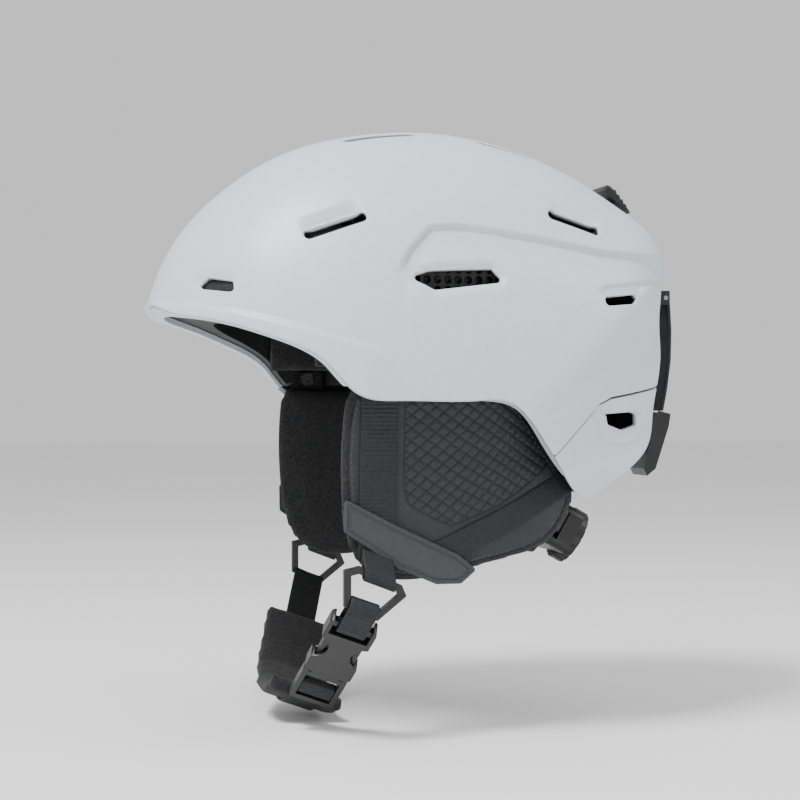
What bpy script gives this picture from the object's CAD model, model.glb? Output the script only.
import math

import bpy
import numpy as np
from mathutils import Matrix, Vector


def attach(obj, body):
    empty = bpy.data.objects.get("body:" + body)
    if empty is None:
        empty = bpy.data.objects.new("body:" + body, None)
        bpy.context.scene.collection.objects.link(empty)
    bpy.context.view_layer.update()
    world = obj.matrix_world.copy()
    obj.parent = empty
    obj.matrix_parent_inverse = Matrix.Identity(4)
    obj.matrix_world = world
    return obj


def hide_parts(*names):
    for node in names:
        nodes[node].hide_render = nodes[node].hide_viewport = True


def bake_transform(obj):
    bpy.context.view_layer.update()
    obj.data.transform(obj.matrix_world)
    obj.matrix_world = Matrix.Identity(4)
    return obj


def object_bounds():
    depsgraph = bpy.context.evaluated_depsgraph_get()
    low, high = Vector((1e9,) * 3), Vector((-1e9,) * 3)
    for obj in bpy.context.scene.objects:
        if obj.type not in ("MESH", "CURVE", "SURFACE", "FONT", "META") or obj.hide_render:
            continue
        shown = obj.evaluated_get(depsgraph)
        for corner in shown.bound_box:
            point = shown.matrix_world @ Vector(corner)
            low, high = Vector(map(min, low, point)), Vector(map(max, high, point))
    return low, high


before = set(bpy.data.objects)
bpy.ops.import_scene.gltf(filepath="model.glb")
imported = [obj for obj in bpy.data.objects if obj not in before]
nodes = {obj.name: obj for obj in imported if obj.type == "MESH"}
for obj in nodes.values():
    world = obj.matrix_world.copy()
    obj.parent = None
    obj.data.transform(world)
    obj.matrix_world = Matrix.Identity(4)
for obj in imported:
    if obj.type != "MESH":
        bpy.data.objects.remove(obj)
frame_low, frame_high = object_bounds()
MM = 0.001

# ---- the dome, as the CAD has it, in millimetres ---------------------------------------
DOME_X, DOME_Z = 12.0, -80.0
HALF_WIDTH, EXPONENT, WALL = 108.0, 2.25, 2.5
PROFILE = [(85, -113), (114, -94), (134, -76), (138.5, -53), (143, -22), (143, 8), (145, 28), (139, 43),
           (120, 58.5), (94, 74), (60, 88), (18, 96), (-25, 94), (-67, 82.5), (-99, 62), (-120.5, 39.5),
           (-132.5, 17.5), (-138, 0), (-142, -20)]
EDGE = [(-150, 2), (-138, 0.7), (-134, -2.5), (-116, -8.5), (-101, -12.5), (-87, -17.5), (-73.5, -23),
        (-60, -32), (-50, -43.5), (-40, -49), (-26, -49.8), (14, -49.8), (35, -53.5), (48.5, -69.5),
        (64, -90), (80, -101), (95, -102), (112, -95), (150, -70)]
PANEL = [(36, -97), (49, -83.5), (81, -52), (89, -48.5), (127, -43), (160, -39)]
BROW_VENT = [(-120, 7), (-114, 12.5), (-103, 10.5), (-103, 4.5)]
MIDDLE_VENT = [(-18.5, 13), (-8, 16), (25, 17.5), (30.5, 10.5), (-6, 6)]
LOW_VENT = [(85.5, -57), (108.5, -56), (109, -62.5), (97, -65), (87, -62)]
FRONT_SLOT = ((-66, 33.8), (-39.5, 43), 2.5)
TOP_SLOT = ((63.5, 47), (88.3, 39.8), 2.7)
REAR_SLOT = ((89.3, 1.8), (104.5, 3.1), 2.6)
CROWN_SLOTS = [((-34.5, 28), (-1.5, 28), 3.5), ((38.5, 30), (65.5, 30), 3.5)]     # as (x, y)
VENT_CORNER = 1.9
SIDE_VENTS_Y, CROWN_VENTS_Z = 24, 50        # the side vents lie further out, the crown's higher
SLIDE_AT = (121, 60.5)                      # middle of the vent slider, as (x, z)
SLIDE_WAY, SLIDE_UP = (-0.8, 0.6), (0.6, 0.8)
SLIDE_TRAVEL = 10
STEM_SLOT = (7.6, 3.5)                      # half length and half width
FAR = 99.0                                  # a distance for places that no vent is near
# Hollows over the vents: their lower line, depth and width.
SCOOPS = [(FRONT_SLOT[0], FRONT_SLOT[1], 4.6, 9.5), (TOP_SLOT[0], TOP_SLOT[1], 3.4, 8.5),
          ((86, 5.0), (112, 7.5), 2.4, 6.0), ((85, -57), (110, -56), 2.4, 5.5),
          ((-121, 8.5), (-103, 11), 1.8, 6.0)]
CREASE_DEPTH, BRIM_HEIGHT = 3.0, 2.0
MIDDLE_BEVEL = (1.9, 4.2)                   # depth and width
BACK_GROOVE = [(80, 7), (123, 12.7), (146, 13.4)]
CREASE = [(-24, 16), (-17, 27), (-5.6, 38.7), (10, 39.5), (31, 37), (60, 33), (88, 28.6), (146, 27)]
BRIM = [(-150, 4), (-132, 0.5), (-102, -5.2), (-73, -13), (-39, -23.4), (-26, -30)]


def natural_spline(points):
    """A smooth curve y(x) through the points, straight at both ends."""
    xs = np.array([p[0] for p in points], float)
    ys = np.array([p[1] for p in points], float)
    n = len(xs)
    h = np.diff(xs)
    rows, right = np.eye(n), np.zeros(n)
    for i in range(1, n - 1):
        rows[i, i - 1:i + 2] = h[i - 1], 2 * (h[i - 1] + h[i]), h[i]
        right[i] = 6 * ((ys[i + 1] - ys[i]) / h[i] - (ys[i] - ys[i - 1]) / h[i - 1])
    bend = np.linalg.solve(rows, right)

    def value(x):
        i = np.clip(np.searchsorted(xs, x) - 1, 0, n - 2)
        t = x - xs[i]
        slope = (ys[i + 1] - ys[i]) / h[i] - h[i] * (2 * bend[i] + bend[i + 1]) / 6
        return ys[i] + t * slope + t * t * bend[i] / 2 + t ** 3 * (bend[i + 1] - bend[i]) / (6 * h[i])

    return value


dome_radius = natural_spline(sorted((math.degrees(math.atan2(z - DOME_Z, x - DOME_X)),
                                     math.hypot(x - DOME_X, z - DOME_Z)) for x, z in PROFILE))
edge_height = natural_spline(EDGE)


def smooth(t):
    """0 to 1, with a soft start and end."""
    t = np.clip(t, 0, 1)
    return t * t * (3 - 2 * t)


def dome(uv):
    """Points of the helmet's dome: u turns about the dome line and v goes from ear to ear, in degrees."""
    u, v = np.radians(uv[:, 0]), np.radians(uv[:, 1])
    reach = dome_radius(uv[:, 0]) * np.abs(np.cos(v)) ** (2 / EXPONENT)
    y = HALF_WIDTH * np.sign(v) * np.abs(np.sin(v)) ** (2 / EXPONENT)
    return np.stack([DOME_X + reach * np.cos(u), y, DOME_Z + reach * np.sin(u)], 1)


def from_polygon(x, z, points, corner=0.0):
    """Distance from a polygon with rounded corners, negative inside."""
    pts = np.array(points, float)
    if corner:
        edges = np.roll(pts, -1, 0) - pts
        turn = np.sign(np.sum(pts[:, 0] * np.roll(pts[:, 1], -1) - np.roll(pts[:, 0], -1) * pts[:, 1]))
        inward = np.stack([-edges[:, 1], edges[:, 0]], 1) * turn / np.linalg.norm(edges, axis=1)[:, None]
        before = np.roll(inward, 1, 0)
        pts = pts + (inward + before) * corner / (1 + np.sum(inward * before, 1))[:, None]
    best, inside = np.full(x.shape, 1e9), np.zeros(x.shape, bool)
    for a, b in zip(pts, np.roll(pts, -1, 0)):
        ex, ez = b - a
        t = np.clip(((x - a[0]) * ex + (z - a[1]) * ez) / (ex * ex + ez * ez), 0, 1)
        best = np.minimum(best, np.hypot(x - a[0] - t * ex, z - a[1] - t * ez))
        side = a[0] + (z - a[1]) * ex / (ez if abs(ez) > 1e-9 else 1e-9)
        inside ^= ((a[1] > z) != (b[1] > z)) & (x < side)
    return np.where(inside, -best, best) - corner


def from_slot(x, z, a, b, radius):
    """Distance from a round-ended slot, negative inside."""
    ex, ez = b[0] - a[0], b[1] - a[1]
    t = np.clip(((x - a[0]) * ex + (z - a[1]) * ez) / (ex * ex + ez * ez), 0, 1)
    return np.hypot(x - a[0] - t * ex, z - a[1] - t * ez) - radius


def above(x, z, line):
    """Height over a line that is given from left to right."""
    return z - np.interp(x, [p[0] for p in line], [p[1] for p in line])


def from_vents(p):
    """Distance from the nearest opening in the shell."""
    x, y, z = p[:, 0], np.abs(p[:, 1]), p[:, 2]
    side = np.full(x.shape, FAR)
    for outline in (BROW_VENT, MIDDLE_VENT, LOW_VENT):
        side = np.minimum(side, from_polygon(x, z, outline, VENT_CORNER))
    for a, b, radius in (FRONT_SLOT, TOP_SLOT, REAR_SLOT):
        side = np.minimum(side, from_slot(x, z, a, b, radius))
    side = np.where(y > SIDE_VENTS_Y, side, FAR)
    top = np.full(x.shape, FAR)
    for a, b, radius in CROWN_SLOTS:
        top = np.minimum(top, from_slot(x, y, a, b, radius))
    top = np.where(z > CROWN_VENTS_Z, top, FAR)
    along = (x - SLIDE_AT[0]) * SLIDE_WAY[0] + (z - SLIDE_AT[1]) * SLIDE_WAY[1]
    stem = np.maximum(np.abs(along - SLIDE_TRAVEL / 2) - STEM_SLOT[0], y - STEM_SLOT[1])
    stem = np.where((x > 90) & (z > 30), stem, FAR)
    return np.minimum(np.minimum(side, top), stem)


def scoop(x, z, a, b, depth, width):
    """A hollow over the line from a to b, deepest along it and gone at that width above it."""
    ex, ez = b[0] - a[0], b[1] - a[1]
    length = math.hypot(ex, ez)
    along = ((x - a[0]) * ex + (z - a[1]) * ez) / length
    up = ((z - a[1]) * ex - (x - a[0]) * ez) / length
    ends = smooth((along + 3) / 6) * smooth((length + 3 - along) / 6)
    return -depth * ends * np.clip(1 - up / width, 0, 1) * smooth((up + 0.6) / 0.6)


def shell_relief(uv, p):
    """Height of the shell's moulded lines over the plain dome."""
    x, y, z = p[:, 0], np.abs(p[:, 1]), p[:, 2]
    side = smooth((y - 18) / 14)
    # The crease along the side: a step in that fades out below it.
    below = -above(x, z, CREASE)
    ledge = smooth((below + 0.3) / 2.2) * (1 - smooth((below - 2) / 26)) * smooth((x + 27) / 10)
    height = -CREASE_DEPTH * ledge * side * (1 - 0.6 * smooth((x - 120) / 25))
    # The brim's raised band, which ends over the ear.
    under = -above(x, z, BRIM)
    height += BRIM_HEIGHT * smooth((under + 0.6) / 1.6) * (1 - smooth((x + 44) / 18)) * smooth((y - 4) / 22)
    for a, b, depth, width in SCOOPS:
        height += scoop(x, z, a, b, depth, width) * side
    bevel = from_polygon(x, z, MIDDLE_VENT, VENT_CORNER)
    height += -MIDDLE_BEVEL[0] * smooth(1 - bevel / MIDDLE_BEVEL[1]) * side
    # The groove across the back, and the one round the lowest vent.
    groove = above(x, z, BACK_GROOVE)
    height += -1.3 * np.exp(-(groove / 1.3) ** 2) * smooth((x - 84) / 12)
    ring = from_polygon(x, z, LOW_VENT, VENT_CORNER) - 7
    height += -0.9 * np.exp(-(ring / 1.2) ** 2) * side * (z < -52)
    return height


# ---- mesh helpers ----------------------------------------------------------------------
def make_object(name, verts, faces, material, soft=True):
    """A mesh object from points in millimetres."""
    mesh = bpy.data.meshes.new(name)
    mesh.from_pydata((np.asarray(verts, float) * MM).tolist(), [], faces)
    mesh.validate()
    obj = bpy.data.objects.new(name, mesh)
    bpy.context.scene.collection.objects.link(obj)
    mesh.materials.append(material)
    if soft:
        mesh.polygons.foreach_set("use_smooth", [True] * len(mesh.polygons))
    return obj


def clipped_grid(us, vs, field):
    """The cells of a grid where field is above 0, cut along its edge: points and faces."""
    grid_u, grid_v = np.meshgrid(us, vs, indexing="ij")
    nu, nv = grid_u.shape
    flat = np.stack([grid_u.ravel(), grid_v.ravel()], 1)
    keep = (field(flat) > 0).reshape(nu, nv)
    number = -np.ones((nu, nv), int)
    number[keep] = np.arange(keep.sum())
    ids = np.arange(nu * nv).reshape(nu, nv)
    pairs = []
    for a, b in ((ids[:-1, :], ids[1:, :]), (ids[:, :-1], ids[:, 1:])):
        differ = keep.ravel()[a] != keep.ravel()[b]
        pairs.append(np.stack([a[differ], b[differ]], 1))
    pairs = np.concatenate(pairs)
    first_in = keep.ravel()[pairs[:, 0]]
    inside = flat[np.where(first_in, pairs[:, 0], pairs[:, 1])]
    outside = flat[np.where(first_in, pairs[:, 1], pairs[:, 0])]
    low, high = np.zeros(len(pairs)), np.ones(len(pairs))
    for _ in range(9):
        middle = (low + high) / 2
        good = field(inside + (outside - inside) * middle[:, None]) > 0
        low, high = np.where(good, middle, low), np.where(good, high, middle)
    low = np.maximum(low, 0.06)
    crossing = inside + (outside - inside) * low[:, None]
    total = int(keep.sum())
    crossed = {(int(a), int(b)): total + k for k, (a, b) in enumerate(pairs)}
    points = np.concatenate([flat[keep.ravel()], crossing])
    full = keep[:-1, :-1] & keep[1:, :-1] & keep[1:, 1:] & keep[:-1, 1:]
    some = (keep[:-1, :-1] | keep[1:, :-1] | keep[1:, 1:] | keep[:-1, 1:]) & ~full
    i, j = np.nonzero(full)
    faces = np.stack([number[i, j], number[i + 1, j], number[i + 1, j + 1], number[i, j + 1]], 1).tolist()
    for i, j in zip(*np.nonzero(some)):
        corners = [(i, j), (i + 1, j), (i + 1, j + 1), (i, j + 1)]
        face = []
        for k, c in enumerate(corners):
            d = corners[(k + 1) % 4]
            if keep[c]:
                face.append(int(number[c]))
            if keep[c] != keep[d]:
                a, b = int(ids[c]), int(ids[d])
                face.append(crossed[(min(a, b), max(a, b))])
        if len(face) > 2:
            faces.append(face)
    return points, faces


def solid_patch(name, us, vs, field, place, rows, thick, material, relief=None, flip=False, mark=None):
    """A closed sheet cut from a curved grid. rows gives its rounded edge, as (outwards, down)."""
    uv, faces = clipped_grid(us, vs, field)
    step = 1e-3
    du = place(uv + (step, 0)) - place(uv - (step, 0))
    dv = place(uv + (0, step)) - place(uv - (0, step))
    normal = np.cross(du, dv) * (-1 if flip else 1)
    normal /= np.linalg.norm(normal, axis=1)[:, None] + 1e-12
    flat = place(uv)
    top = flat + (normal * relief(uv, flat)[:, None] if relief else 0)
    if flip:
        faces = [f[::-1] for f in faces]
    directed = {(f[k], f[(k + 1) % len(f)]) for f in faces for k in range(len(f))}
    border = [(a, b) for a, b in directed if (b, a) not in directed]
    out = np.zeros_like(top)
    for a, b in border:
        push = np.cross(flat[b] - flat[a], normal[a])
        out[a] += push
        out[b] += push
    rim = sorted({k for e in border for k in e})
    out[rim] /= np.linalg.norm(out[rim], axis=1)[:, None] + 1e-12
    verts = [top]
    count = len(top)
    where = [{k: k for k in rim}]
    for sideways, down in rows:
        verts.append(top[rim] + out[rim] * sideways - normal[rim] * down)
        where.append({k: count + n for n, k in enumerate(rim)})
        count += len(rim)
    verts.append(flat - normal * thick)
    where.append({k: count + k for k in rim})
    faces += [[count + k for k in f[::-1]] for f in faces]
    for upper, lower in zip(where, where[1:]):
        faces += [[upper[b], upper[a], lower[a], lower[b]] for a, b in border]
    obj = make_object(name, np.concatenate(verts), faces, material)
    if mark is not None:
        values = np.zeros(len(obj.data.vertices), np.float32)
        values[:len(uv)] = mark(uv)
        obj.data.attributes.new("line", "FLOAT", "POINT").data.foreach_set("value", values)
    return obj


def round_rows(radius, depth):
    """The rows of a rounded edge that ends that far down."""
    turn = [math.radians(a) for a in (25, 50, 72, 90)]
    return [(radius * math.sin(a), radius * (1 - math.cos(a))) for a in turn] + [(radius, depth)]


def mirrored(obj, name):
    """The same piece on the helmet's other side."""
    mesh = obj.data.copy()
    mesh.transform(Matrix.Scale(-1, 4, (0, 1, 0)))
    mesh.flip_normals()
    other = bpy.data.objects.new(name, mesh)
    bpy.context.scene.collection.objects.link(other)
    return other


def ribbon(name, line, across, width, thick, material, pitch=2.1, rib=0.5, closed=False, step=0.5):
    """Webbing along a line, with ribs across it. across is the width's direction."""
    line = np.array(line, float)
    if closed:
        line = np.vstack([line, line[:1]])
    run = np.concatenate([[0], np.cumsum(np.linalg.norm(np.diff(line, axis=0), axis=1))])
    at = np.linspace(0, run[-1], int(run[-1] / step) + 1)
    if closed:
        at = at[:-1]
    pts = np.stack([np.interp(at, run, line[:, k]) for k in range(3)], 1)
    if not closed:
        for _ in range(6):
            pts[1:-1] = (pts[:-2] + 2 * pts[1:-1] + pts[2:]) / 4
        tangent = np.gradient(pts, axis=0)
    else:
        tangent = np.roll(pts, -1, 0) - np.roll(pts, 1, 0)
    across = np.array(across, float)
    across = across / np.linalg.norm(across)
    up = np.cross(tangent, across)
    up /= np.linalg.norm(up, axis=1)[:, None]
    ribs = rib * (np.abs(np.sin(math.pi * at / pitch)) ** 0.6 - 1)
    half = width / 2
    section = [(-half, 0.0), (-half + 0.1, 0.62), (-half + 0.45, 1), (-half + 2, 1), (-half / 3, 1),
               (half / 3, 1), (half - 2, 1), (half - 0.45, 1), (half - 0.1, 0.62), (half, 0.0)]
    section += [(x, -h) for x, h in section[-2:0:-1]]
    verts, m = [], len(section)
    for k in range(len(pts)):
        for x, h in section:
            lift = h * (thick / 2 + (ribs[k] if abs(h) == 1 and abs(x) < half - 0.4 else ribs[k] * 0.3))
            verts.append(pts[k] + across * x + up[k] * lift)
    n, faces = len(pts), []
    for k in range(n if closed else n - 1):
        a, b = k * m, ((k + 1) % n) * m
        faces += [[a + i, a + (i + 1) % m, b + (i + 1) % m, b + i] for i in range(m)]
    if not closed:
        faces += [list(range(m))[::-1], [(n - 1) * m + i for i in range(m)]]
    return make_object(name, verts, faces, material)


def stitches(name, lines, normal, material, length=2.2, gap=1.1, radius=0.28):
    """Rows of raised thread along lines."""
    verts, faces = [], []
    normal = np.array(normal, float) / np.linalg.norm(normal)
    for line in lines:
        line = np.array(line, float)
        run = np.concatenate([[0], np.cumsum(np.linalg.norm(np.diff(line, axis=0), axis=1))])
        starts = np.arange(0.4, run[-1] - length, length + gap)
        for s in starts:
            a, b = (np.array([np.interp(s + d, run, line[:, k]) for k in range(3)]) for d in (0, length))
            along = (b - a) / np.linalg.norm(b - a)
            side = np.cross(along, normal)
            base = len(verts)
            for t, size in ((0, 0.35), (0.25, 1), (0.75, 1), (1, 0.35)):
                for turn in (2 * math.pi * k / 6 for k in range(6)):
                    spoke = side * math.cos(turn) + normal * math.sin(turn)
                    verts.append(a + (b - a) * t + spoke * radius * size)
            for r in range(3):
                faces += [[base + r * 6 + k, base + r * 6 + (k + 1) % 6,
                           base + r * 6 + 6 + (k + 1) % 6, base + r * 6 + 6 + k] for k in range(6)]
            faces += [[base + k for k in range(5, -1, -1)], [base + 18 + k for k in range(6)]]
    return make_object(name, verts, faces, material)


# ---- materials -------------------------------------------------------------------------
def finish_of(name, colour, rough, scale=900.0, bump=0.15, depth=0.00015, kind="NOISE", vary=0.08,
              rough_vary=0.08, metallic=0.0, coat=0.0, sheen=0.0, second=None, line_colour=None):
    """A material whose colour, gloss and surface all vary with procedural noise."""
    mat = bpy.data.materials.new(name)
    mat.use_nodes = True
    tree = mat.node_tree
    shader = tree.nodes["Principled BSDF"]
    shader.inputs["Metallic"].default_value = metallic
    shader.inputs["Coat Weight"].default_value = coat
    shader.inputs["Coat Roughness"].default_value = 0.25
    shader.inputs["Sheen Weight"].default_value = sheen
    shader.inputs["Sheen Roughness"].default_value = 0.6
    link = tree.links.new
    place = tree.nodes.new("ShaderNodeTexCoord")

    def noise(size, detail=3.0):
        node = tree.nodes.new("ShaderNodeTexNoise")
        node.inputs["Scale"].default_value = size
        node.inputs["Detail"].default_value = detail
        link(place.outputs["Object"], node.inputs["Vector"])
        return node.outputs["Fac"]

    def ramp(source, low, high):
        node = tree.nodes.new("ShaderNodeMapRange")
        node.inputs["To Min"].default_value = low
        node.inputs["To Max"].default_value = high
        node.inputs["From Min"].default_value = 0.3
        node.inputs["From Max"].default_value = 0.7
        link(source, node.inputs["Value"])
        return node.outputs["Result"]

    blend = tree.nodes.new("ShaderNodeMix")
    blend.data_type = "RGBA"
    blend.inputs[6].default_value = [c * (1 - vary) for c in colour] + [1]
    blend.inputs[7].default_value = [min(1, c * (1 + vary)) for c in (second or colour)] + [1]
    link(ramp(noise(scale * 0.12 if second is None else scale), 0, 1), blend.inputs[0])
    shade = blend.outputs[2]
    if line_colour is not None:
        attribute = tree.nodes.new("ShaderNodeAttribute")
        attribute.attribute_name = "line"
        lines = tree.nodes.new("ShaderNodeMix")
        lines.data_type = "RGBA"
        lines.inputs[7].default_value = list(line_colour) + [1]
        link(attribute.outputs["Fac"], lines.inputs[0])
        link(shade, lines.inputs[6])
        shade = lines.outputs[2]
    link(shade, shader.inputs["Base Color"])
    gloss = ramp(noise(scale * 0.3), max(0.02, rough - rough_vary), min(1, rough + rough_vary))
    link(gloss, shader.inputs["Roughness"])
    if kind == "CELLS":
        cells = tree.nodes.new("ShaderNodeTexVoronoi")
        cells.inputs["Scale"].default_value = scale
        link(place.outputs["Object"], cells.inputs["Vector"])
        height = cells.outputs["Distance"]
    elif kind == "WEAVE":
        waves = []
        for axis in ("X", "Z"):
            wave = tree.nodes.new("ShaderNodeTexWave")
            wave.bands_direction = axis
            wave.inputs["Scale"].default_value = scale / 20
            wave.inputs["Distortion"].default_value = 0.4
            link(place.outputs["Object"], wave.inputs["Vector"])
            waves.append(wave.outputs["Fac"])
        most = tree.nodes.new("ShaderNodeMath")
        most.operation = "MAXIMUM"
        link(waves[0], most.inputs[0])
        link(waves[1], most.inputs[1])
        height = most.outputs[0]
    else:
        height = noise(scale, 4.0)
    rise = tree.nodes.new("ShaderNodeBump")
    rise.inputs["Strength"].default_value = bump
    rise.inputs["Distance"].default_value = depth
    link(height, rise.inputs["Height"])
    link(rise.outputs["Normal"], shader.inputs["Normal"])
    return mat


PAINT = finish_of("shell_paint", (0.60, 0.63, 0.655), 0.45, 2600, 0.06, 0.00005, vary=0.03,
                  rough_vary=0.04, coat=0.12)
LIP = finish_of("edge_trim", (0.6, 0.62, 0.64), 0.42, 1800, 0.08, 0.00008, vary=0.04)
FOAM = finish_of("foam", (0.006, 0.006, 0.007), 0.75, 330, 0.55, 0.0005, "CELLS", vary=0.15)
HONEY = finish_of("honeycomb", (0.007, 0.007, 0.008), 0.5, 1500, 0.2, vary=0.1)
PLASTIC = finish_of("black_plastic", (0.009, 0.009, 0.010), 0.42, 2400, 0.25, 0.00006, vary=0.1)
GREY_PLASTIC = finish_of("buckle_plastic", (0.012, 0.012, 0.0135), 0.36, 2400, 0.2, 0.00006, vary=0.1)
STEEL = finish_of("steel", (0.42, 0.42, 0.43), 0.3, 1800, 0.12, 0.00005, vary=0.06, metallic=1.0)
FLEECE = finish_of("fleece", (0.0055, 0.0055, 0.0062), 0.95, 800, 1.0, 0.0012, vary=0.2,
                   sheen=0.05, second=(0.019, 0.019, 0.021))
PANEL_CLOTH = finish_of("panel_fabric", (0.017, 0.0175, 0.0195), 0.62, 2600, 0.5, 0.00012, "WEAVE",
                        vary=0.1, line_colour=(0.002, 0.002, 0.0025))
WEBBING = finish_of("webbing", (0.0075, 0.0078, 0.009), 0.68, 2400, 0.5, 0.00015, "WEAVE", vary=0.18)
KEEPER = finish_of("keeper_fabric", (0.034, 0.035, 0.038), 0.55, 3000, 0.4, 0.0001, "WEAVE",
                   vary=0.08, line_colour=(0.01, 0.01, 0.011))
ELASTIC = finish_of("elastic", (0.007, 0.007, 0.008), 0.7, 2400, 0.5, 0.00015, "WEAVE", vary=0.15)
THREAD = finish_of("thread", (0.05, 0.051, 0.055), 0.6, 3000, 0.4, 0.0001, vary=0.2)

CAD_LOOK = {
    "lower_lip": (LIP, "shell_paint"), "foam_liner": (FOAM, "foam"),
    "honeycomb_left": (HONEY, "honeycomb"), "honeycomb_right": (HONEY, "honeycomb"),
    "dial_pinion": (STEEL, "steel"), "dial_screws": (STEEL, "steel"), "slider_screw": (STEEL, "steel"),
    "dial_detent_spring": (STEEL, "steel"), "strap_rivets": (STEEL, "steel"),
    "retainer_pin": (STEEL, "steel"),
    "buckle_female": (GREY_PLASTIC, "buckle_plastic"), "buckle_male": (GREY_PLASTIC, "buckle_plastic"),
    "prong_left": (GREY_PLASTIC, "buckle_plastic"), "prong_right": (GREY_PLASTIC, "buckle_plastic"),
    "divider_left": (GREY_PLASTIC, "buckle_plastic"), "divider_right": (GREY_PLASTIC, "buckle_plastic"),
}
for node_name, node in nodes.items():
    look, slot_name = CAD_LOOK.get(node_name, (PLASTIC, "black_plastic"))
    node.data.materials.clear()
    node.data.materials.append(look)

ROUNDED_EDGES = ("buckle_female", "buckle_male", "prong_left", "prong_right", "retainer_clip",
                 "shutter_frame")
for node_name in ROUNDED_EDGES:
    weld = nodes[node_name].modifiers.new("weld", "WELD")
    weld.merge_threshold = 0.00001
    edge = nodes[node_name].modifiers.new("edge", "BEVEL")
    edge.width, edge.segments, edge.limit_method = 0.00035, 2, "ANGLE"
    edge.angle_limit = math.radians(40)
    edge.harden_normals = True

# ---- shell -----------------------------------------------------------------------------
SHELL_ROWS = round_rows(0.7, 2.6)
SHELL_STEP = 0.58                           # degrees
PARTING_FROM, PARTING_GAP, EDGE_ROUND = 34, 0.95, 0.7
NO_PARTING = 50.0                           # stands for the parting where there is none
us = np.arange(-24, 156.01, SHELL_STEP)
vs = np.arange(-84, 84.01, SHELL_STEP)


def shell_field(side):
    """Where the shell has material: side 1 over the parting line, -1 under it."""
    def field(uv):
        p = dome(uv)
        x, z = p[:, 0], p[:, 2]
        slope = edge_height(x + 0.5) - edge_height(x - 0.5)
        lower = (z - edge_height(x)) / np.sqrt(1 + slope * slope)
        parting = above(x, z, PANEL) / 1.25
        parting = np.where(x > PARTING_FROM, parting, NO_PARTING) * side
        return np.minimum(np.minimum(lower, from_vents(p)) - EDGE_ROUND, parting - PARTING_GAP)
    return field


SHELL_PARTS = (("shell_main", 1, "outer_shell"), ("shell_rear_panel", -1, "rear_lower_shell"))
for name, side, stands_for in SHELL_PARTS:
    shell = solid_patch(name, us, vs, shell_field(side), dome, SHELL_ROWS, WALL, PAINT,
                        shell_relief, flip=True)
    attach(shell, "helmet")
    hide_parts(stands_for)

# ---- ear pads, panels and side straps ---------------------------------------------------
TILT = math.radians(5)
PIVOT_Y, PIVOT_Z = -91.0, -50.0             # the line that the ear's layers tilt about
PAD_BACK, PAD_FACE, PAD_LIMIT = -84.6, -91.4, -90.7
PANEL_LAYER, PANEL_SEAM = -91.9, -92.2
STRAP_LAYER, FRONT_STRAP_X = -93.4, -33.5
KEEPER_LAYER, KEEPER_SEAM = -95.6, -95.9
CLOTH_FRAMES = 20
EAR_OUTLINE = [(-49, -45), (-53, -66), (-53, -92), (-49, -119), (-40, -134), (-22, -142),
               (0, -141), (20, -136), (58, -126), (74, -109), (75, -96), (62, -78), (50, -60),
               (40, -48), (28, -43.5), (0, -43), (-28, -43), (-42, -43)]
GRID_PANEL = [(-20.8, -36), (-20, -93), (-17.4, -101.6), (-6.4, -108), (5.6, -113), (28, -104), (47, -92),
              (66, -76), (60, -36)]
KEEPER_OUTLINE = [(-51, -98), (-26, -111), (8, -127), (18, -135), (10, -142), (-3, -142),
                  (-23, -133.5), (-51, -114.5)]


def closed_spline(points, per=6):
    """A smooth closed line through the points."""
    pts = np.array(points, float)
    n, out = len(pts), []
    for i in range(n):
        a, b, c, d = pts[i - 1], pts[i], pts[(i + 1) % n], pts[(i + 2) % n]
        for t in np.arange(per) / per:
            straight = 2 * b + (c - a) * t
            bend = (2 * a - 5 * b + 4 * c - d) * t * t
            out.append(0.5 * (straight + bend + (3 * b - a - 3 * c + d) * t ** 3))
    return np.array(out)


EAR_LINE = closed_spline(EAR_OUTLINE)


def tilted(x, y, z, angle):
    """Turns points about the line that the ear's layers tilt about."""
    dy, dz = y - PIVOT_Y, z - PIVOT_Z
    return np.stack([x, dy * math.cos(angle) - dz * math.sin(angle) + PIVOT_Y,
                     dy * math.sin(angle) + dz * math.cos(angle) + PIVOT_Z], 1)


def lean(x):
    """How far the ear's layers curve inwards towards the rear."""
    return np.maximum(0, x - 20) ** 2 / 160


def ear_place(depth):
    """Places (x, z) points on the left ear pad's layer at that depth."""
    def place(uv):
        x, z = uv[:, 0], uv[:, 1]
        return tilted(x, depth + lean(x), z, TILT)
    return place


def inside_of(outline, corner, margin):
    """A patch's field: positive further than margin inside the outline."""
    return lambda uv: -from_polygon(uv[:, 0], uv[:, 1], outline, corner) - margin


def pillow(name, place_low, place_high, outline, swell, step, material):
    """A sewn pad: two layers that meet in a seam, ready to be blown up."""
    def field(uv):
        return -from_polygon(uv[:, 0], uv[:, 1], outline)
    box = np.array(outline)
    us, vs = (np.arange(box[:, k].min() - step, box[:, k].max() + step, step) for k in (0, 1))
    uv, faces = clipped_grid(us, vs, field)
    rise = np.sqrt(np.clip(1 - (1 - np.clip(field(uv) / swell, 0, 1)) ** 2, 0, 1))[:, None]
    low, high = place_low(uv), place_high(uv)
    middle = (low + high) / 2
    directed = {(f[k], f[(k + 1) % len(f)]) for f in faces for k in range(len(f))}
    rim = {k for a, b in directed if (b, a) not in directed for k in (a, b)}
    top = middle + (high - middle) * rise
    bottom = middle + (low - middle) * rise
    index, extra = {}, []
    for k in range(len(uv)):
        if k in rim:
            index[k] = k
            top[k] = middle[k]
        else:
            index[k] = len(uv) + len(extra)
            extra.append(bottom[k])
    faces = faces + [[index[k] for k in f[::-1]] for f in faces]
    return make_object(name, np.concatenate([top, np.array(extra)]), faces, material)


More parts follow.
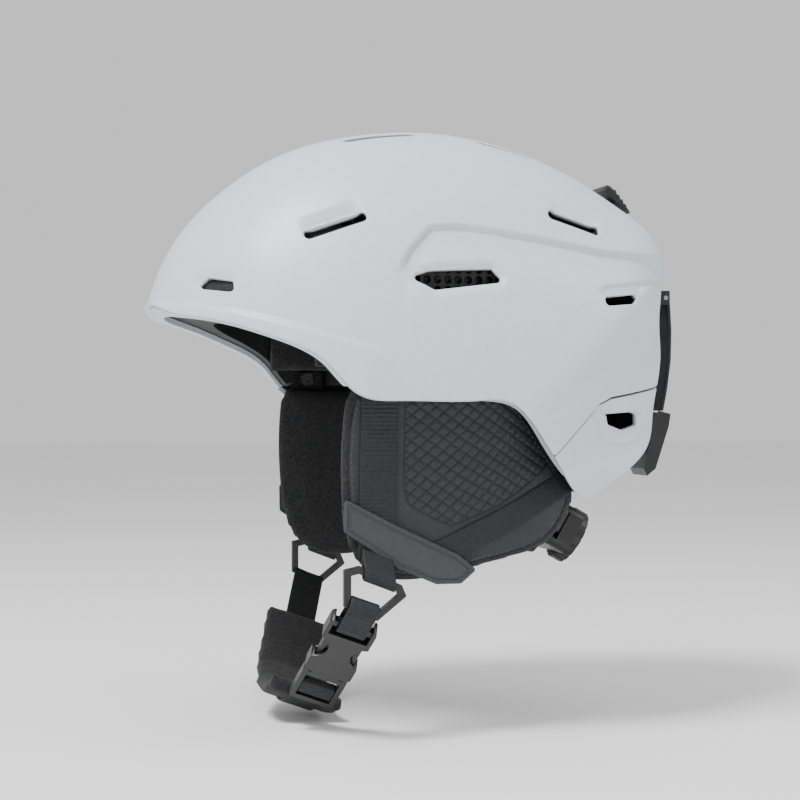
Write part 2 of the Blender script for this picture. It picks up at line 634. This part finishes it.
def inflate(obj, pressure, most, limit=None):
    """Blows the pad up as cloth, and keeps each point within most millimetres of where it was cut."""
    rest = np.array([v.co for v in obj.data.vertices])
    scene = bpy.context.scene
    scene.frame_start, scene.frame_end = 1, CLOTH_FRAMES
    cloth = obj.modifiers.new("cloth", "CLOTH")
    cloth.settings.quality = 4
    cloth.settings.mass = 0.2
    cloth.settings.tension_stiffness = 25
    cloth.settings.compression_stiffness = 20
    cloth.settings.bending_stiffness = 1.5
    cloth.settings.use_pressure = True
    cloth.settings.uniform_pressure_force = pressure
    cloth.settings.effector_weights.gravity = 0
    cloth.point_cache.frame_start, cloth.point_cache.frame_end = 1, CLOTH_FRAMES
    for number in range(1, CLOTH_FRAMES + 1):
        scene.frame_set(number)
    done = obj.evaluated_get(bpy.context.evaluated_depsgraph_get())
    blown = np.array([v.co for v in done.data.vertices])
    obj.modifiers.clear()
    scene.frame_set(1)
    if len(blown) == len(rest):
        move = blown - rest
        size = np.linalg.norm(move, axis=1)[:, None] + 1e-12
        rest = rest + move * np.minimum(1, most * MM / size)
    if limit is not None:
        rest = limit(rest)
    obj.data.vertices.foreach_set("co", rest.astype(np.float32).ravel())
    obj.data.update()
    round_off = obj.modifiers.new("round", "SUBSURF")
    round_off.levels = round_off.render_levels = 1


def ear_limit(rest):
    """Keeps the pad's outer face behind the panel sewn over it."""
    x, y, z = tilted(*(rest / MM).T, -TILT).T
    inner = from_polygon(x, z, EAR_LINE) < -4.6
    y = np.where(inner, np.maximum(y, PAD_LIMIT + lean(x)), y)
    return tilted(x, y, z, TILT) * MM


def grid_lines(uv):
    """1 on the ear panel's printed diamond lines, 0 between them."""
    x, z = uv[:, 0], uv[:, 1]
    pitch = np.interp(x, [-20, 10, 60], [5.2, 5.0, 4.2])
    one = np.abs(np.mod((x * 0.62 + z * 0.78) / pitch, 1) - 0.5) * pitch
    two = np.abs(np.mod((x * 0.62 - z * 0.78) / pitch, 1) - 0.5) * pitch
    inside = -from_polygon(x, z, GRID_PANEL)
    edge = np.abs(inside)
    near = np.where(inside > 0, np.minimum(np.minimum(one, two), edge), edge)
    return np.clip(1 - (near - 0.25) / 0.35, 0, 1)


def panel_relief(uv, p):
    """The panel's channels, and its rolled edge."""
    rim = -from_polygon(uv[:, 0], uv[:, 1], EAR_LINE) - 4.5
    ripple = 0.12 * np.sin(uv[:, 1] * 0.35) * smooth(rim / 8)
    return 0.5 * smooth(rim / 3.0) - 0.55 * grid_lines(uv) + ripple


def keeper_relief(uv, p):
    """The keeper's stitched hem."""
    rim = -from_polygon(uv[:, 0], uv[:, 1], KEEPER_OUTLINE, 1.0)
    return 0.35 * smooth(rim / 1.2) - 0.4 * np.exp(-((rim - 2.4) / 0.45) ** 2) + 0.3 * smooth((rim - 3) / 5)


def keeper_seam(uv):
    """How strongly the keeper's stitched line shows."""
    rim = -from_polygon(uv[:, 0], uv[:, 1], KEEPER_OUTLINE, 1.0)
    return 0.5 * np.exp(-((rim - 2.4) / 0.5) ** 2)


def hem_line(outline, inset, depth, lift=0.35):
    """A closed line inside an ear outline, on its layer's face."""
    pts = np.array(outline, float)
    middle = pts.mean(0)
    away = pts - middle
    pts = pts - away / np.linalg.norm(away, axis=1)[:, None] * inset
    return ear_place(depth - lift)(np.vstack([pts, pts[:1]]))


pieces = []
pad = pillow("ear_pad_fleece_left", ear_place(PAD_BACK), ear_place(PAD_FACE), EAR_LINE, 5.0, 3.4, FLEECE)
inflate(pad, 4.0, 1.6, ear_limit)
pieces.append((pad, "ear_pad_left", "fleece"))
step = 0.7
panel = solid_patch("ear_panel_cloth_left", np.arange(-54, 76, step), np.arange(-143, -42, step),
                    inside_of(EAR_LINE, 0.0, 5.8), ear_place(PANEL_LAYER), round_rows(0.5, 0.9), 1.2,
                    PANEL_CLOTH, panel_relief, flip=False, mark=grid_lines)
pieces.append((panel, "ear_panel_left", "panel_fabric"))
strap_layer = ear_place(STRAP_LAYER)
front_line = strap_layer(np.array([(FRONT_STRAP_X, z) for z in np.arange(-32, -130, -1.0)]))
strap = ribbon("front_strap_webbing_left", front_line, (1, 0, 0), 19.0, 1.6, WEBBING, 2.1)
pieces.append((strap, "front_strap_left", "webbing"))
rear_top, rear_end = np.array([77.5, -89]), np.array([-11.2, -132.5])
rear_line = strap_layer(np.array([rear_top + (rear_end - rear_top) * t for t in np.linspace(0, 1, 60)]))
strap = ribbon("rear_strap_webbing_left", rear_line, (0.41, 0.07, -0.9), 13.4, 1.6, WEBBING, 1.9)
pieces.append((strap, "rear_strap_left", "webbing"))
keeper = solid_patch("strap_keeper_cloth_left", np.arange(-53, 20, 0.6), np.arange(-144, -96, 0.6),
                     inside_of(KEEPER_OUTLINE, 1.5, 0.4), ear_place(KEEPER_LAYER),
                     round_rows(0.4, 0.8), 1.1, KEEPER, keeper_relief, mark=keeper_seam)
pieces.append((keeper, "strap_keeper_left", "keeper_fabric"))
for piece, cad_name, slot_name in pieces:
    other = mirrored(piece, piece.name.replace("left", "right"))
    if cad_name == "ear_pad_left":
        round_off = other.modifiers.new("round", "SUBSURF")
        round_off.levels = round_off.render_levels = 1
    for obj, node_name in ((piece, cad_name), (other, cad_name.replace("left", "right"))):
        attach(obj, "helmet")
        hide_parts(node_name)

RING_LOOPS = ((-1, -33.9, "front_strap_ring_loop_left"), (1, -24.9, "front_strap_ring_loop_right"))
for side, ring_x, name in RING_LOOPS:
    turn = [(FRONT_STRAP_X, 86.9, -124), (FRONT_STRAP_X, 89.8, -129),
            (ring_x, 95.9, -135.3), (ring_x, 96.6, -138),
            (ring_x, 95.5, -140.6), (ring_x, 93, -141.5), (ring_x, 90.5, -140.6), (ring_x, 89.3, -138),
            (ring_x, 88.6, -133.5), (FRONT_STRAP_X, 86.3, -127)]
    path = [(x, y * side, z) for x, y, z in turn]
    loop = ribbon(name, path, (0.93, 0, -0.36), 17.0, 1.4, WEBBING, 2.1, step=0.4)
    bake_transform(loop)

seams = [hem_line(KEEPER_OUTLINE, 3.0, KEEPER_SEAM), hem_line(EAR_LINE[::2], 6.6, PANEL_SEAM, 0.2)]
thread = stitches("ear_stitching_left", seams, (0, -1, 0.09), THREAD)
other = mirrored(thread, "ear_stitching_right")
for obj in (thread, other):
    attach(obj, "helmet")

# ---- pads inside the shell ---------------------------------------------------------------
PAD_VOXEL = 3.0


def soft_copy(node_name, name, pressure, most, body="helmet"):
    """A padded piece blown up from the CAD's plain solid."""
    mesh = nodes[node_name].data.copy()
    obj = bpy.data.objects.new(name, mesh)
    bpy.context.scene.collection.objects.link(obj)
    mesh.materials.clear()
    mesh.materials.append(FLEECE)
    remesh = obj.modifiers.new("remesh", "REMESH")
    remesh.mode = "VOXEL"
    remesh.voxel_size = PAD_VOXEL * MM
    even = obj.modifiers.new("even", "SMOOTH")
    even.iterations = 2
    done = obj.evaluated_get(bpy.context.evaluated_depsgraph_get())
    obj.data = bpy.data.meshes.new_from_object(done)
    obj.modifiers.clear()
    obj.data.polygons.foreach_set("use_smooth", [True] * len(obj.data.polygons))
    inflate(obj, pressure, most)
    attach(obj, body)
    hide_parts(node_name)


for cad_name in ("brow_pad", "crown_pad", "side_pad_left", "side_pad_right", "rear_pad", "cradle_pad"):
    soft_copy(cad_name, cad_name + "_fleece", 3.0, 1.0)
soft_copy("chin_pad", "chin_pad_fleece", 4.0, 1.2, "chin_loop")

# ---- chin strap ---------------------------------------------------------------------------
LOOP_DROP, LOOP_TILT = 68.0, math.radians(20)
ring_left, ring_right = np.array([-36, -93, -145.5]), np.array([-27, 93, -145.5])
bar_drop = np.array([-6.4, 0, -7.6])
ends = ring_left + bar_drop, ring_right + bar_drop
chord = (ends[1] - ends[0]) / np.linalg.norm(ends[1] - ends[0])
half = np.linalg.norm(ends[1] - ends[0]) / 2
across = np.array([math.cos(LOOP_TILT), 0, -math.sin(LOOP_TILT)])
across = across - chord * across.dot(chord)
across /= np.linalg.norm(across)
rising = np.cross(across, chord)
origin = (ends[0] + ends[1]) / 2
SIDE = math.radians(48)
loop_centre = (LOOP_DROP - half * math.sin(SIDE)) / (1 - math.cos(SIDE))
loop_radius = LOOP_DROP - loop_centre


def loop_points(offset, start, stop):
    """Points along the chin loop, moved out, between two places along its chord."""
    radius = loop_radius + offset
    x, y = radius * math.sin(SIDE), -loop_centre - radius * math.cos(SIDE)
    run = (half - loop_radius * math.sin(SIDE)) / math.cos(SIDE)
    top_x, top_y = x + run * math.cos(SIDE), y + run * math.sin(SIDE)
    flat = [(-top_x, top_y)]
    arc = np.linspace(-SIDE, SIDE, 90)
    flat += [(radius * math.sin(a), -loop_centre - radius * math.cos(a)) for a in arc]
    flat.append((top_x, top_y))
    fine = np.array(flat)
    run = np.concatenate([[0], np.cumsum(np.linalg.norm(np.diff(fine, axis=0), axis=1))])
    at = np.linspace(0, run[-1], 400)
    pts = np.stack([np.interp(at, run, fine[:, k]) for k in (0, 1)], 1)
    pts = pts[(pts[:, 0] >= start) & (pts[:, 0] <= stop)]
    return np.array([origin + chord * a + rising * b for a, b in pts])


down = chord * math.cos(SIDE) - rising * math.sin(SIDE)
facing = np.cross(across, down)
BAR_AT, BAR_WRAP = 62.0, 2.6
bar = ends[0] + down * BAR_AT
wrap = [bar - facing * BAR_WRAP + down * 5.5]
wrap += [bar - (facing * math.cos(a) + down * math.sin(a)) * BAR_WRAP for a in np.linspace(0, math.pi, 12)]
wrap += [bar + facing * 3.0 + down * 3.5, bar + facing * 3.8 + down * 7.0]
line = np.vstack([np.array(wrap), loop_points(-3.8, -43.5, 89.5)])
strap = ribbon("chin_strap_webbing", line, across, 17.8, 1.5, WEBBING, 2.1)
loop_points(-3.8, -6, -5)[0] * MM
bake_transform(strap)
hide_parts("chin_strap_right")
racetrack = []
for middle, first in ((0.0, 180), (13.0, 0)):
    for a in np.radians(np.linspace(first, first + 180, 16)):
        racetrack.append(ends[0] + down * (middle + 4.4 * math.sin(a)) + facing * 4.4 * math.cos(a))
web = ribbon("chin_web_webbing_left", racetrack, across, 15.0, 1.6, WEBBING, 2.1, closed=True)
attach(web, "chin_loop")
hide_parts("chin_web_left")

# ---- goggle retainer ------------------------------------------------------------------------
elastic = [(149.4, 0, 7.4), (150.6, 0, 8.8), (152.6, 0, 8.2), (153.8, 0, 5.5), (154.7, 0, -10),
           (154.3, 0, -27), (152.3, 0, -42.3), (149.8, 0, -55.3)]
band = ribbon("goggle_retainer_elastic", elastic, (0, 1, 0), 20.0, 2.1, ELASTIC, 1.6, 0.2)
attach(band, "goggle_retainer")
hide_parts("goggle_retainer_strap")

# ---- vent slider's knob -----------------------------------------------------------------------
slide_along = np.array([SLIDE_WAY[0], 0, SLIDE_WAY[1]])
slide_up = np.array([SLIDE_UP[0], 0, SLIDE_UP[1]])
KNOB_FOOT = 1.2


def knob_point(along, y, height):
    """A point given along the slide, across it and up from the shell."""
    return np.array([SLIDE_AT[0], y, SLIDE_AT[1]]) + slide_along * along + slide_up * height


section = [(-10.5, KNOB_FOOT), (-10.5, 1.8), (-8.5, 2.5)]
for k in range(4):
    start = -7.0 + 3.2 * k
    height = 3.0 + 0.9 * k
    section += [(start, height), (start + 0.5, height + 0.75)]
    section += [(start + 1.9, height + 1.1), (start + 2.3, height + 0.5)]
section += [(7.5, 6.4), (9.4, 6.0), (10.2, 4.6), (9.8, KNOB_FOOT)]
verts = []
for y, shorter, lower in ((-12, 0.93, 0.8), (-10.5, 1, 1), (10.5, 1, 1), (12, 0.93, 0.8)):
    verts += [knob_point(a * shorter, y, KNOB_FOOT + (h - KNOB_FOOT) * lower) for a, h in section]
m = len(section)
faces = []
for row in (0, m, 2 * m):
    faces += [[row + k, row + (k + 1) % m, row + m + (k + 1) % m, row + m + k] for k in range(m)]
faces += [list(range(m))[::-1], [3 * m + k for k in range(m)]]
stem_corners = ((-2, -2.8), (2, -2.8), (2, 2.8), (-2, 2.8))
stem = [knob_point(a, y, h) for h in (1.4, -9.9) for a, y in stem_corners]
base = len(verts)
faces += [[base, base + 1, base + 2, base + 3], [base + 7, base + 6, base + 5, base + 4]]
faces += [[base + k, base + 4 + k, base + 4 + (k + 1) % 4, base + (k + 1) % 4] for k in range(4)]
knob = make_object("vent_slider_knob_grip", verts + stem, faces, PLASTIC, soft=False)
knob_edge = knob.modifiers.new("edge", "BEVEL")
knob_edge.width, knob_edge.segments, knob_edge.limit_method = 0.0003, 2, "ANGLE"
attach(knob, "vent_slider")
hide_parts("vent_slider_knob")

# ---- stage ------------------------------------------------------------------------------------
FLOOR_HALF, FLOOR_GAP = 6, 0.001
CAMERA_SPOT, LOOK_AT = Vector((-0.2419, -0.9703, -0.0494)), Vector((0, 0, -0.0494))
floor_mesh = bpy.data.meshes.new("floor")
z = frame_low.z - FLOOR_GAP
corners = [(-1, -1), (1, -1), (1, 1), (-1, 1)]
floor_mesh.from_pydata([(FLOOR_HALF * x, FLOOR_HALF * y, z) for x, y in corners], [], [(0, 1, 2, 3)])
floor = bpy.data.objects.new("floor", floor_mesh)
bpy.context.scene.collection.objects.link(floor)
floor_mesh.materials.append(finish_of("floor", (0.9, 0.9, 0.9), 0.8, 30, 0.05, 0.0002, vary=0.01))
world = bpy.data.worlds.new("world")
world.use_nodes = True
world.node_tree.nodes["Background"].inputs["Color"].default_value = (1, 1, 1, 1)
world.node_tree.nodes["Background"].inputs["Strength"].default_value = 0.8
bpy.context.scene.world = world


def area_light(name, spot, target, size, power):
    """A soft light that points at target."""
    data = bpy.data.lights.new(name, "AREA")
    data.size, data.energy = size, power
    light = bpy.data.objects.new(name, data)
    bpy.context.scene.collection.objects.link(light)
    light.location = spot
    light.rotation_euler = (Vector(target) - Vector(spot)).to_track_quat("-Z", "Y").to_euler()


area_light("key", (-0.7, -0.45, 1.3), (0, 0, 0), 0.5, 34)
area_light("fill", (-1.3, -0.8, 0.1), (0, 0, -0.05), 1.0, 2)
area_light("rear", (1.1, -0.5, 0.7), (0, 0, 0), 0.8, 6)

camera_data = bpy.data.cameras.new("camera")
camera_data.lens, camera_data.sensor_width = 81.9, 36.0
camera = bpy.data.objects.new("camera", camera_data)
bpy.context.scene.collection.objects.link(camera)
camera.location = CAMERA_SPOT
camera.rotation_euler = (LOOK_AT - CAMERA_SPOT).to_track_quat("-Z", "Y").to_euler()
bpy.context.scene.camera = camera
